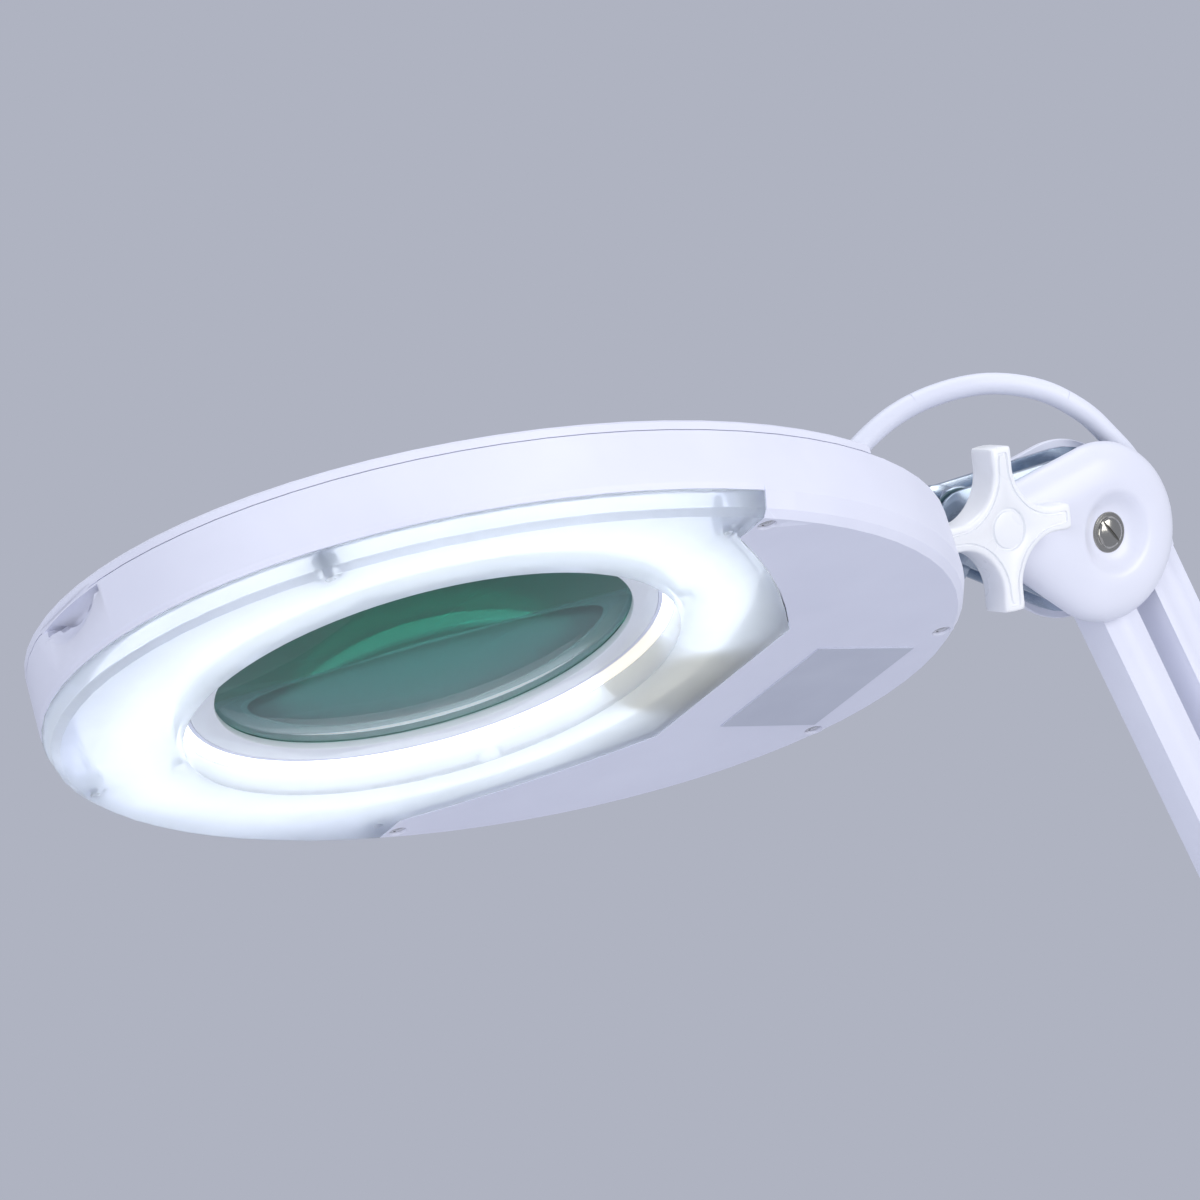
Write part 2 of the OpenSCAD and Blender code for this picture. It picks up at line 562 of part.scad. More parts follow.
module elbow_pins() color("silver") {
    pins(elbow_pivots_low);
    pins(elbow_pivots_up);
}
base_tip = [0, base_h - 12];
module base_cover_front() color("white") knuckle_cover(base_c, cover_r, base_tip, cover_r - 6, [base_c]);
module base_cover_back() color("white") mirror([0, 1, 0])
    knuckle_cover(base_c, cover_r, base_tip, cover_r - 6, [base_c]);
module base_screws() color("silver") both_sides() cover_stud(base_c);
module base_pins() color("silver") pins(base_pivots);
// ---------------- tubes ----------------
tube_end = 7;
module square_tube(a, b) difference() {
    along(a, b) translate([-tube_w / 2, -tube_w / 2, -tube_end]) cube([tube_w, tube_w, norm(b - a) + 2 * tube_end]);
    along(a, b) translate([-tube_w / 2 + tube_t, -tube_w / 2 + tube_t, -tube_end - 1])
        cube([tube_w - 2 * tube_t, tube_w - 2 * tube_t, norm(b - a) + 2 * tube_end + 2]);
    for (p = [a, b]) rod(p, pin_r + run, -20, 20);
}
module along(a, b) translate([a[0], 0, a[1]]) rotate([0, 90 - atan2(b[1] - a[1], b[0] - a[0]), 0]) children();
spring_from = 40;
spring_to = 240;
spring_pitch = 4;
module spring(a, b) along(a, b) {
    rotate_extrude() polygon(concat([[0, spring_from], [0, spring_to]],
        [for (z = [spring_to : -spring_pitch : spring_from]) each [[spring_r, z],
            [spring_r - 0.8, max(spring_from, z - spring_pitch / 2)]]]));
    for (z = [spring_from - 1, spring_to + 1]) translate([0, tube_w / 2 - tube_t, z]) rotate([90, 0, 0])
        cylinder(r = 2, h = tube_w - 2 * tube_t);
}
module upper_tube_a() color("white") square_tube(knuckle_pivots[0], elbow_pivots_up[0]);
module upper_tube_b() color("white") difference() {
    square_tube(knuckle_pivots[1], elbow_pivots_up[1]);
    along(bush_top, bush_end) translate([0, 0, -3]) cylinder(r = bush_hole_r, h = bush_len + 3.2);
}
bush_hole_r = cord_r + 1.2;
// The bush sinks into the side of the upper bar at a flat angle, behind the knuckle's covers
bush_side = polar(1, 90 - upper_angle);
bush_top = knuckle_c + 29.4 * bush_side + polar(8, -upper_angle);
bush_end = knuckle_c + 25.5 * bush_side + polar(24, -upper_angle);
bush_len = norm(bush_end - bush_top);
module cord_bush() color("#f2f2f6") along(bush_top, bush_end) difference() {
    cylinder(r = bush_hole_r - run, h = bush_len);
    translate([0, 0, -1]) cylinder(r = cord_r - 1, h = bush_len - 1);
}
module lower_tube_a() color("white") square_tube(base_pivots[0], elbow_pivots_low[0]);
module lower_tube_b() color("white") square_tube(base_pivots[1], elbow_pivots_low[1]);
module upper_spring() color("silver") spring(elbow_pivots_up[0], knuckle_pivots[0]);
module lower_spring() color("silver") spring(base_pivots[0], elbow_pivots_low[0]);
// ---------------- base and clamp ----------------
bush_z = clamp_t;
module swivel_post() color("silver") union() {
    difference() {
        union() {
            translate([0, 0, bush_z + 6]) cylinder(r = post_r, h = base_h - 36.8 - bush_z - 6);
            translate([0, 0, bush_z + bush_h + fit]) cylinder(r = post_r + 5, h = 3);
        }
        translate([0, 0, 0]) cylinder(r = stem_bore_r, h = base_h);
    }
    translate([-11, -plate_in, base_h - 37]) cube([22, 2 * plate_in, 16]);
}
module swivel_bush() color("white") difference() {
    union() {
        translate([0, 0, bush_z]) cylinder(r = bush_r, h = bush_h);
        translate([0, 0, bush_z]) cylinder(r1 = bush_r + 4, r2 = bush_r, h = 5);
    }
    translate([0, 0, bush_z + 5.7]) cylinder(r = post_r + run, h = bush_h);
    translate([0, 0, lead_z]) rotate([-90, 0, 0]) cylinder(r = relief_r + run, h = bush_r + 10);
}
lead_z = 22;
relief_r = 5;
relief_in = 11;
relief_out = 55;
module strain_relief() color("#e6e6ea") translate([0, 0, lead_z]) rotate([-90, 0, 0]) difference() {
    union() {
        translate([0, 0, relief_in]) cylinder(r = relief_r, h = bush_r - relief_in + 2);
        translate([0, 0, bush_r + 0.6]) cylinder(r = relief_r + 2, h = 2);
        translate([0, 0, bush_r + 2]) cylinder(r1 = relief_r, r2 = cord_r + 0.7, h = relief_out - bush_r - 2);
    }
    translate([0, 0, relief_in - 1]) cylinder(r = cord_r - 1, h = relief_out - relief_in - 1);
}
jaw_x = 12;
screw_x = -clamp_reach + pad_r + 12;
module clamp_frame() color("#d7dae2") difference() {
    union() {
        slab(-clamp_w / 2, clamp_w / 2) polygon([[-clamp_reach + jaw_x, 0], [jaw_x, 0], [jaw_x, -clamp_open],
            [-clamp_reach + jaw_x, -clamp_open], [-clamp_reach + jaw_x, -clamp_open - clamp_t],
            [jaw_x + clamp_t, -clamp_open - clamp_t], [jaw_x + clamp_t, clamp_t], [-clamp_reach + jaw_x, clamp_t]]);
        translate([screw_x, 0, -clamp_open - clamp_t - 8]) cylinder(r = screw_r + 4, h = 8 + eps);
    }
    translate([screw_x, 0, -clamp_open - 30]) cylinder(r = screw_r + run, h = 40);
}
screw_top = -40;
screw_low = -112;
module clamp_screw() color("silver") difference() {
    union() {
        translate([screw_x, 0, screw_low]) cylinder(r = screw_r, h = screw_top - 6 - screw_low);
        translate([screw_x, 0, screw_low - 2]) cylinder(r = screw_r + 2.5, h = 14);
        translate([screw_x, 0, screw_top - 7]) cylinder(r = 3, h = 5);
    }
    translate([screw_x - 40, 0, screw_low + 5]) rotate([0, 90, 0]) cylinder(r = 2.5 + run, h = 80);
}
module clamp_handle() color("silver") translate([screw_x, 0, screw_low + 5]) rotate([0, 90, 0]) {
    translate([0, 0, -handle_half]) cylinder(r = 2.5, h = 2 * handle_half);
    for (s = [-1, 1]) translate([0, 0, s * handle_half]) sphere(r = 4.5);
}
module clamp_pad() color("#3b3d42") difference() {
    translate([screw_x, 0, screw_top - 6]) cylinder(r = pad_r, h = 6);
    translate([screw_x, 0, screw_top - 10]) cylinder(r = 3 + run, h = 8);
}
// ---------------- cords ----------------
arch_rise = [0, sin(head_roll), cos(head_roll)];
arch_start = lens + [gland_x, 0, 0] + (gland_top + 0.1) * arch_rise;
// Route of the cord arch, as steps from the knuckle's middle
arch_steps = [[-88, 24, 9], [-74, 25, 23], [-61, 22.5, 34.5], [-47, 18, 42], [-31, 12, 46], [-14, 6, 44.5],
    [1, 2, 38], [12, 0, 29.5], [18.7, 0, 24.2], [24, 0, 18.4]];
arch_in = (bush_top - bush_end) / bush_len;
arch_end = bush_top + 0.45 * arch_in;
arch_route = concat([arch_start, arch_start + 3 * arch_rise, arch_start + 9 * arch_rise],
    [for (s = arch_steps) [knuckle_c[0] + s[0], s[1], knuckle_c[1] + s[2]]], [for (d = [2.5, 0]) [arch_end[0] + d * arch_in[0], 0, arch_end[1] + d * arch_in[1]]]);
module cord_arch() color("white") tube_along(smooth(arch_route, 3), cord_r, [1, 0, 0]);
coil_at = [-74, 76];
coil_turns_h = 3 * 2 * cord_r;
lead_route = [[0, relief_out + 0.1, lead_z], [0, relief_out + 6, lead_z], [0, relief_out + 12, 21.6],
    [0, 76, 19], [-1, 84, 14], [-4, 98, 7], [-9, 110, 4], [-18, 120, 3.6], [-31, 126.5, 3.6],
    [-46, 128.5, 3.6], [-61, 128.6, 3.6], [-76, 128.6, 3.6]];
tail_route = [[-126.6, 88, 3.6], [-126.8, 76, 3.6], [-127.4, 64, 4.6], [-128, 55, 6.4], [-128, 48, 7], [-128, 43.1, 7]];
module lead_cord() color("white") {
    tube_along(smooth(lead_route, 3), cord_r, [0, 0, 1]);
    tube_along(smooth(tail_route, 2), cord_r, [0, 0, 1]);
}
module cord_coil() color("white") translate([coil_at[0], coil_at[1], 0]) rotate_extrude()
    translate([coil_r - 2 * cord_r, 0.1]) square([4 * cord_r, coil_turns_h]);
tie_w = 12;
module cord_tie() color("#303236") translate([coil_at[0], coil_at[1], 0]) difference() {
    translate([-tie_w / 2, -coil_r - 2 * cord_r - 1.4, 0]) cube([tie_w, 4 * cord_r + 2.8, coil_turns_h + 1.4]);
    difference() {
        translate([0, 0, -1]) cylinder(r = coil_r + 2 * cord_r + eps, h = coil_turns_h + 1.1);
        translate([0, 0, -2]) cylinder(r = coil_r - 2 * cord_r - eps, h = coil_turns_h + 4);
    }
}
plug_at = [-128, 43];
plug_len = 36;
module mains_plug() color("white") translate([plug_at[0], plug_at[1] - plug_len, 0]) slab(0, plug_len)
    polygon([[-17, 2], [-15, 0.1], [15, 0.1], [17, 2], [17, 12], [15, 14], [-15, 14], [-17, 12]]);
module plug_pins() color("silver") for (s = [-1, 1])
    translate([plug_at[0] + s * 9.3, plug_at[1] - plug_len, 7]) rotate([90, 0, 0]) cylinder(r = 2, h = 19);

housing_shell();
top_cover();
lens_lid();
lid_hinge_pins();
lens_ring();
magnifier_lens();
ring_tube();
tube_end_cap();
tube_holder();
tube_clips();
diffuser();
diffuser_screws();
housing_screws();
ballast();
terminal_block();
rating_plate();
switch_rocker();
head_gland();
swivel_stem();
stem_nut();
stem_washer();
head_clevis();
friction_washers();
tilt_bolt();
star_knob();
knuckle_plates();
knuckle_cover_front();
knuckle_cover_back();
knuckle_screws();
knuckle_pins();
upper_tube_a();
upper_tube_b();
upper_spring();
cord_bush();
elbow_plates();
elbow_cover_front();
elbow_cover_back();
elbow_screws();
elbow_pins();
lower_tube_a();
lower_tube_b();
lower_spring();
base_plates();
base_cover_front();
base_cover_back();
base_screws();
base_pins();
swivel_post();
swivel_bush();
clamp_frame();
clamp_screw();
clamp_handle();
clamp_pad();
cord_arch();
strain_relief();
lead_cord();
cord_coil();
cord_tie();
mains_plug();
plug_pins();
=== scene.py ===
import math

import bmesh
import bpy
from mathutils import Matrix, Vector


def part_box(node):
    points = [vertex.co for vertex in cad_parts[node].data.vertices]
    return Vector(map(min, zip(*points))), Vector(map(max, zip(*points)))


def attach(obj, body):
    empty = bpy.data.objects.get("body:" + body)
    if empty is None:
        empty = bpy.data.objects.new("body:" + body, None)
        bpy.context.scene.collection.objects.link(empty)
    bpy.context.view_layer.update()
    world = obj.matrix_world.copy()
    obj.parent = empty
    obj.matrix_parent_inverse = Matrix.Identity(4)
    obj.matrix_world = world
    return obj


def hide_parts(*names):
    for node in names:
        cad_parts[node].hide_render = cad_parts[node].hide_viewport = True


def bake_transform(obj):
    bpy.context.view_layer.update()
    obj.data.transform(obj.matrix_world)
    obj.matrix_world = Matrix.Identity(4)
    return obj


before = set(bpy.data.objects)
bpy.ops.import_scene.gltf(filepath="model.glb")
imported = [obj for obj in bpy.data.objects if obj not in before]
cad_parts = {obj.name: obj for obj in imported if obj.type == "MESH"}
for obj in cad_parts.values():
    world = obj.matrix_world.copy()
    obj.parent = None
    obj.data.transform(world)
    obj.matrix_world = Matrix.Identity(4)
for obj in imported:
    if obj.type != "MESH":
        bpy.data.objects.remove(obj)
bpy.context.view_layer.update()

MM = 0.001

# ---------------------------------------------------------------- the head's frame and the joints' middles
ROLL = math.radians(30)  # the head leans this far about X
Y_HEAD = Vector((0, math.cos(ROLL), -math.sin(ROLL)))
Z_HEAD = Vector((0, math.sin(ROLL), math.cos(ROLL)))
LENS_MID_H = 14.5  # mm, height of the lens's middle above the head's underside


def box_mid(node):
    low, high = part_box(node)
    return (Vector(low) + Vector(high)) / 2


LENS = box_mid("magnifier_lens") - Z_HEAD * LENS_MID_H * MM  # on the lens's axis, at the head's underside
HEAD = Matrix(((1, 0, 0, LENS.x),
               (0, Y_HEAD.y, Z_HEAD.y, LENS.y),
               (0, Y_HEAD.z, Z_HEAD.z, LENS.z),
               (0, 0, 0, 1)))
HEAD_MM = HEAD @ Matrix.Scale(MM, 4)  # from mm in the head's own frame
BOLT = box_mid("friction_washers")
KNUCKLE = box_mid("knuckle_screws")
ELBOW = box_mid("elbow_screws")
BASE = box_mid("base_screws")


# ---------------------------------------------------------------- camera
CAM_OFFSET = Vector((-871.1, -1278.0, 107.8)) * MM  # from the lens
CAM_RIGHT = Vector((0.809, -0.587, 0.035)).normalized()
CAM_BACK = -Vector((0.588, 0.808, -0.052)).normalized()
FOCAL_MM, SENSOR_MM = 159.2, 36
cam_data = bpy.data.cameras.new("camera")
cam_data.lens = FOCAL_MM
cam_data.sensor_width = SENSOR_MM
camera = bpy.data.objects.new("camera", cam_data)
bpy.context.scene.collection.objects.link(camera)
cam_up = CAM_BACK.cross(CAM_RIGHT).normalized()
cam_right = cam_up.cross(CAM_BACK).normalized()
camera.matrix_world = Matrix.Translation(LENS + CAM_OFFSET) @ Matrix(
    (cam_right, cam_up, CAM_BACK)).transposed().to_4x4()
bpy.context.scene.camera = camera


# ---------------------------------------------------------------- materials
RAMP_ENDS = (0.3, 0.7)
GRAIN_BUMP = 0.35


def srgb(r, g, b):
    """Linear colour, with alpha 1, of an 8-bit sRGB colour."""
    def lin(c):
        c = c / 255
        return c / 12.92 if c <= 0.04045 else ((c + 0.055) / 1.055) ** 2.4
    return (lin(r), lin(g), lin(b), 1)


def noise(tree, scale, detail=3):
    """Noise value in object coordinates, in metres."""
    coord = tree.nodes.new("ShaderNodeTexCoord")
    tex = tree.nodes.new("ShaderNodeTexNoise")
    tex.inputs["Scale"].default_value = scale
    tex.inputs["Detail"].default_value = detail
    tree.links.new(coord.outputs["Object"], tex.inputs["Vector"])
    return tex.outputs["Fac"]


def ramp(tree, value, low, high):
    """Colour that runs from low to high over the middle of the value's range."""
    node = tree.nodes.new("ShaderNodeValToRGB")
    for element, position, colour in zip(node.color_ramp.elements, RAMP_ENDS, (low, high)):
        element.position, element.color = position, srgb(*colour)
    tree.links.new(value, node.inputs["Fac"])
    return node.outputs["Color"]


def spread(tree, value, low, high):
    """The value's range of 0 to 1, mapped to low to high."""
    node = tree.nodes.new("ShaderNodeMapRange")
    node.inputs["To Min"].default_value = low
    node.inputs["To Max"].default_value = high
    tree.links.new(value, node.inputs["Value"])
    return node.outputs["Result"]


def bump(tree, shader, value, strength, distance):
    node = tree.nodes.new("ShaderNodeBump")
    node.inputs["Strength"].default_value = strength
    node.inputs["Distance"].default_value = distance
    tree.links.new(value, node.inputs["Height"])
    tree.links.new(node.outputs["Normal"], shader.inputs["Normal"])


def blank_material(name):
    mat = bpy.data.materials.new(name)
    mat.use_nodes = True
    return mat, mat.node_tree, mat.node_tree.nodes["Principled BSDF"]


def mix_surface(tree, first, second, output):
    """Mixes two shaders into the surface of the output node, and gives the mix's Fac socket."""
    mix = tree.nodes.new("ShaderNodeMixShader")
    tree.links.new(first, mix.inputs[1])
    tree.links.new(second, mix.inputs[2])
    tree.links.new(mix.outputs["Shader"], tree.nodes[output].inputs["Surface"])
    return mix.inputs["Fac"]


def material(name, dark, light, rough=(0.3, 0.4), metal=0.0, grain=900, grain_depth=0.00002, patch=25,
             **extra):
    """Opaque material: patches of two tones and roughnesses, and a fine grain in its bump."""
    mat, tree, shader = blank_material(name)
    patches = noise(tree, patch)
    tree.links.new(ramp(tree, patches, dark, light), shader.inputs["Base Color"])
    tree.links.new(spread(tree, patches, *rough), shader.inputs["Roughness"])
    shader.inputs["Metallic"].default_value = metal
    for key, value in extra.items():
        shader.inputs[key.replace("_", " ")].default_value = value
    bump(tree, shader, noise(tree, grain, 2), GRAIN_BUMP, grain_depth)
    return mat


SHELL = material("shell_plastic", (226, 228, 243), (232, 234, 248), (0.38, 0.46), grain=1400)
INNER = material("inner_plastic", (232, 236, 242), (240, 243, 247), (0.3, 0.4))
COVER = material("cover_plastic", (228, 230, 243), (234, 236, 248), (0.26, 0.34), grain=700)
KNOB = material("knob_plastic", (243, 245, 249), (249, 250, 252), (0.24, 0.32), grain=700)
PAINT = material("tube_paint", (226, 228, 242), (233, 235, 248), (0.25, 0.33), grain=500,
                 grain_depth=0.000012)
CORD = material("cord_pvc", (226, 229, 243), (233, 236, 248), (0.42, 0.5), grain=600)
STEEL = material("bright_steel", (196, 196, 198), (214, 214, 214), (0.14, 0.24), 1.0, grain=400)
NICKEL = material("nickel", (150, 148, 142), (188, 186, 178), (0.12, 0.2), 1.0, grain=300)
ZINC = material("zinc_plate", (150, 166, 184), (205, 214, 224), (0.16, 0.32), 1.0, grain=260, patch=60)
WIRE = material("spring_wire", (120, 122, 126), (150, 152, 156), (0.25, 0.35), 1.0)
DARK = material("dark_plastic", (30, 31, 34), (42, 43, 47), (0.45, 0.6))
# The washers' dark teal is partly their own fibre colour and partly painted shade of the grooves between the
# zinc discs
FIBRE_GROOVE_SHADE = material("fibre_with_groove_shade", (52, 78, 86), (76, 108, 116), (0.35, 0.5), grain=1500)
RUBBER = material("pad_rubber", (24, 24, 26), (34, 34, 37), (0.7, 0.85), grain=1200, grain_depth=0.00006)
FOIL = material("label_foil", (196, 200, 214), (208, 212, 224), (0.4, 0.5), 0.15, grain=300)
# The cap's faint glow stands for light of the tube that reaches it through the tray
BEIGE = material("cap_beige", (222, 214, 198), (232, 226, 212), (0.4, 0.5),
                 Emission_Color=srgb(240, 238, 228), Emission_Strength=0.55)

CLEAR_TINT, CLEAR_IOR = (243, 246, 248), 1.2
CLEAR_ROUGH = (0.14, 0.22)
CLEAR_SCATTER = (0.46, 0.56)  # share of the surface's light that is scattered


def clear_material():
    """Moulded clear plastic: part see-through, part scattering the light behind it, with a gloss on top."""
    mat, tree, shader = blank_material("clear_plastic")
    shader.inputs["Base Color"].default_value = srgb(*CLEAR_TINT)
    shader.inputs["Transmission Weight"].default_value = 1.0
    shader.inputs["IOR"].default_value = CLEAR_IOR
    patches = noise(tree, 35)
    tree.links.new(spread(tree, patches, *CLEAR_ROUGH), shader.inputs["Roughness"])
    scatter = tree.nodes.new("ShaderNodeBsdfTranslucent")
    tones = [[c - below for c in CLEAR_TINT] for below in (12, 5)]
    tree.links.new(ramp(tree, patches, *tones), scatter.inputs["Color"])
    share = mix_surface(tree, shader.outputs["BSDF"], scatter.outputs["BSDF"], "Material Output")
    tree.links.new(spread(tree, noise(tree, 20), *CLEAR_SCATTER), share)
    bump(tree, shader, noise(tree, 160), 0.25, 0.00004)
    return mat


CLEAR = clear_material()

GLASS_IOR = 1.52
GLASS_THROUGH = 0.09  # share of the light that goes straight through
GLASS_DEPTH_COLOUR, GLASS_DENSITY = (0.06, 0.84, 0.7, 1), 46


def lens_material():
    """Green-tinted glass: the tint deepens with the way through it, and its surface has a faint film."""
    mat, tree, shader = blank_material("lens_glass")
    tree.links.new(ramp(tree, noise(tree, 12), (238, 250, 246), (246, 253, 250)), shader.inputs["Base Color"])
    tree.links.new(spread(tree, noise(tree, 30), 0.01, 0.03), shader.inputs["Roughness"])
    shader.inputs["IOR"].default_value = GLASS_IOR
    shader.inputs["Transmission Weight"].default_value = 1.0
    through = tree.nodes.new("ShaderNodeBsdfTransparent")
    through.inputs["Color"].default_value = srgb(214, 246, 236)
    share = mix_surface(tree, shader.outputs["BSDF"], through.outputs["BSDF"], "Material Output")
    share.default_value = GLASS_THROUGH
    depth = tree.nodes.new("ShaderNodeVolumeAbsorption")
    depth.inputs["Color"].default_value = GLASS_DEPTH_COLOUR
    depth.inputs["Density"].default_value = GLASS_DENSITY
    tree.links.new(depth.outputs["Volume"], tree.nodes["Material Output"].inputs["Volume"])
    return mat


GLASS = lens_material()
GLOW_STRENGTH = 1.16


def glow_material():
    """The lit tube's white coating."""
    mat, tree, shader = blank_material("tube_glow")
    tree.links.new(ramp(tree, noise(tree, 30), (246, 250, 255), (255, 255, 255)), shader.inputs["Base Color"])
    shader.inputs["Emission Color"].default_value = srgb(247, 251, 255)
    shader.inputs["Emission Strength"].default_value = GLOW_STRENGTH
    shader.inputs["Roughness"].default_value = 0.3
    return mat


GLOW = glow_material()


# ---------------------------------------------------------------- mesh helpers
def add_mesh(name, verts, faces, place):
    mesh = bpy.data.meshes.new(name)
    mesh.from_pydata([tuple(v) for v in verts], [], faces)
    if place is not None:
        mesh.transform(place)
    bm = bmesh.new()
    bm.from_mesh(mesh)
    bmesh.ops.recalc_face_normals(bm, faces=bm.faces)
    bm.to_mesh(mesh)
    bm.free()
    obj = bpy.data.objects.new(name, mesh)
    bpy.context.scene.collection.objects.link(obj)
    return obj


def loft(name, rings, place=None):
    """Closed form from rings of points joined by quads, with a cap at each end."""
    n, m = len(rings[0]), len(rings)
    verts = [p for ring in rings for p in ring]
    faces = []
    for a in range(0, (m - 1) * n, n):
        faces += [(a + i, a + (i + 1) % n, a + n + (i + 1) % n, a + n + i) for i in range(n)]
    faces += [tuple(range(n)), tuple(range((m - 1) * n, m * n))]
    return add_mesh(name, verts, faces, place)


def revolve(name, profile, place, n):
    """Profile points (radius, height) turned round Z."""
    rings = [[(r * math.cos(2 * math.pi * i / n), r * math.sin(2 * math.pi * i / n), z) for i in range(n)]
             for r, z in profile]
    return loft(name, rings, place)


def bake(obj):
    """Applies the object's modifiers to its mesh."""
    deps = bpy.context.evaluated_depsgraph_get()
    mesh = bpy.data.meshes.new_from_object(obj.evaluated_get(deps))
    obj.modifiers.clear()
    obj.data = mesh


def combine(obj, tools, operation="DIFFERENCE"):
    """Cuts or joins the tools, which are then gone."""
    for tool in tools:
        mod = obj.modifiers.new("cut", "BOOLEAN")
        mod.operation = operation
        mod.solver = "EXACT"
        mod.object = tool
        bake(obj)
        bpy.data.objects.remove(tool, do_unlink=True)


def smooth(obj, angle):
    """Smooth shading, with edges over that many degrees left sharp."""
    for poly in obj.data.polygons:
        poly.use_smooth = True
    obj.data.set_sharp_from_angle(angle=math.radians(angle))


def soften(obj, width, angle):
    """Rounds the edges over that many degrees, to a width in mm."""
    mod = obj.modifiers.new("soften", "BEVEL")
    mod.width = width * MM
    mod.segments = 3
    mod.limit_method = "ANGLE"
    mod.angle_limit = math.radians(angle)
    bake(obj)


def dress(obj, body, mat, replaced, angle, bevel=0):
    """Gives the piece its finish, worked edges of that width in mm and its body, and hides the nodes that it
    replaces.
    """
    obj.data.materials.clear()
    obj.data.materials.append(mat)
    if bevel:
        soften(obj, bevel, angle)
    smooth(obj, angle)
    if replaced:
        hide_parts(*replaced)
    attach(obj, body)


# ---------------------------------------------------------------- cords
CORD_D = 7.0  # mm, outside
CORD_SIDES = 20
CORD_ANGLE = 50  # degrees: only its end caps have sharp edges
ARCH_FINE, LEAD_FINE = 6, 3  # steps of the curve from point to point


def curve_through(points, steps):
    """Catmull-Rom curve through the points, with that many steps from each to the next."""
    pts = [Vector(p) for p in points]
    pts = [pts[0] * 2 - pts[1]] + pts + [pts[-1] * 2 - pts[-2]]
    out = []
    for a, b, c, d in zip(pts, pts[1:], pts[2:], pts[3:]):
        for k in range(steps):
            t = k / steps
            out.append(0.5 * (2 * b + (c - a) * t + (2 * a - 5 * b + 4 * c - d) * t * t
                              + (3 * b - a - 3 * c + d) * t ** 3))
    return out + [pts[-2]]


def cord_tube(name, path):
    """Round tube along the path, capped at each end."""
    radius = CORD_D / 2 * MM
    rings = []
    side = Vector((0, 1, 0)) if abs((path[1] - path[0]).normalized().y) < 0.8 else Vector((0, 0, 1))
    for i, p in enumerate(path):
        along = (path[min(i + 1, len(path) - 1)] - path[max(i - 1, 0)]).normalized()
        side = (side - along * side.dot(along)).normalized()
        up = along.cross(side)
        rings.append([p + radius * (math.cos(t) * side + math.sin(t) * up)
                      for t in (2 * math.pi * k / CORD_SIDES for k in range(CORD_SIDES))])
    obj = loft(name, rings)
    obj.data.materials.append(CORD)
    smooth(obj, CORD_ANGLE)
    return obj


# Arch of cord from the head to the arm, as steps in mm from the knuckle's middle
ARCH_STEPS = [(-88, 24, 9), (-74, 25, 23), (-61, 22.5, 34.5), (-47, 18, 42), (-31, 12, 46), (-14, 6, 44.5),
              (1, 2, 38), (12, 0, 29.5), (18.7, 0, 24.2), (24, 0, 18.4), (27.48, 0, 13.32), (28.41, 0, 11.0)]
GLAND_X, GLAND_H = 150, 43.5  # where the cord leaves the head's top
gland = HEAD_MM @ Vector((GLAND_X, 0, GLAND_H))
arch = curve_through(
    [gland, gland + 3 * MM * Z_HEAD, gland + 9 * MM * Z_HEAD]
    + [Vector((KNUCKLE.x + x * MM, y * MM, KNUCKLE.z + z * MM)) for x, y, z in ARCH_STEPS],
    ARCH_FINE)
# One piece for each joint that the arch crosses, from point to point along it
ARCH_CUTS = [0, 33, 51, len(arch) - 1]
ARCH_BODIES = [("head", "clevis"), ("clevis", "knuckle"), ("knuckle", "upper_bar_b")]
for k, (body_a, body_b) in enumerate(ARCH_BODIES):
    stretch = arch[ARCH_CUTS[k]:ARCH_CUTS[k + 1] + 1]
    piece = cord_tube(f"cord_arch_{k + 1}", stretch)
    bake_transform(piece)
    if k == 0:
        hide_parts("cord_arch")

# Mains lead: out of the strain relief, down to the table and into the tied coil, then out to the plug
LOW = 3.6  # mm, height of the middle of a cord that lies on the table
MID_Z, HIGH = LOW + CORD_D, LOW + 2 * CORD_D
LEAD_START = [(0, 55.1, 22), (0, 61, 22), (0, 67, 21.6), (0, 76, 19), (-1, 84, 14), (-4, 98, 7), (-9, 110, 4),
              (-18, 120, LOW), (-31, 126.5, LOW), (-46, 128.5, LOW), (-61, 128.6, LOW)]
LEAD_END = [(-127.2, 64, 4.6), (-128, 55, 6.4), (-128, 48, 7), (-128, 43.1, 7)]
coil_mid = box_mid("cord_coil")
coil_out = (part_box("cord_coil")[1].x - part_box("cord_coil")[0].x) / 2 / MM
OUTER, INNER_R = coil_out - CORD_D / 2, coil_out - 1.5 * CORD_D
# Each step of the coil: where the cord leaves one place in the stack and reaches the next, in degrees
COIL_STEPS = [((OUTER + CORD_D + 0.1, LOW), (OUTER, LOW), 98, 145), ((OUTER, LOW), (INNER_R, LOW), 413, 455),
              ((INNER_R, LOW), (INNER_R, MID_Z), 731, 773), ((INNER_R, MID_Z), (INNER_R, HIGH), 1049, 1091),
              ((INNER_R, HIGH), (OUTER, HIGH), 1367, 1409), ((OUTER, HIGH), (OUTER, MID_Z), 1685, 1727)]
COIL_ANGLES = range(92, 1920, 9)
LEAVE_AT, LEAVE_TURN, LEAVE_GAP = 1925, 42, 0.3  # degrees and mm: the last turn goes out and down here


def coil_place(angle):
    """Radius and height of the cord at that angle of its winding."""
    place = COIL_STEPS[0][0]
    for start, end, first, last in COIL_STEPS:
        if angle > first:
            t = min(1, (angle - first) / (last - first))
            ease = (1 - math.cos(math.pi * t)) / 2
            place = tuple(a + (b - a) * ease for a, b in zip(start, end))
    return place


def coil_point(angle, place):
    r, z = place
    return (coil_mid.x / MM + r * math.cos(math.radians(angle)),
            coil_mid.y / MM + r * math.sin(math.radians(angle)), z)


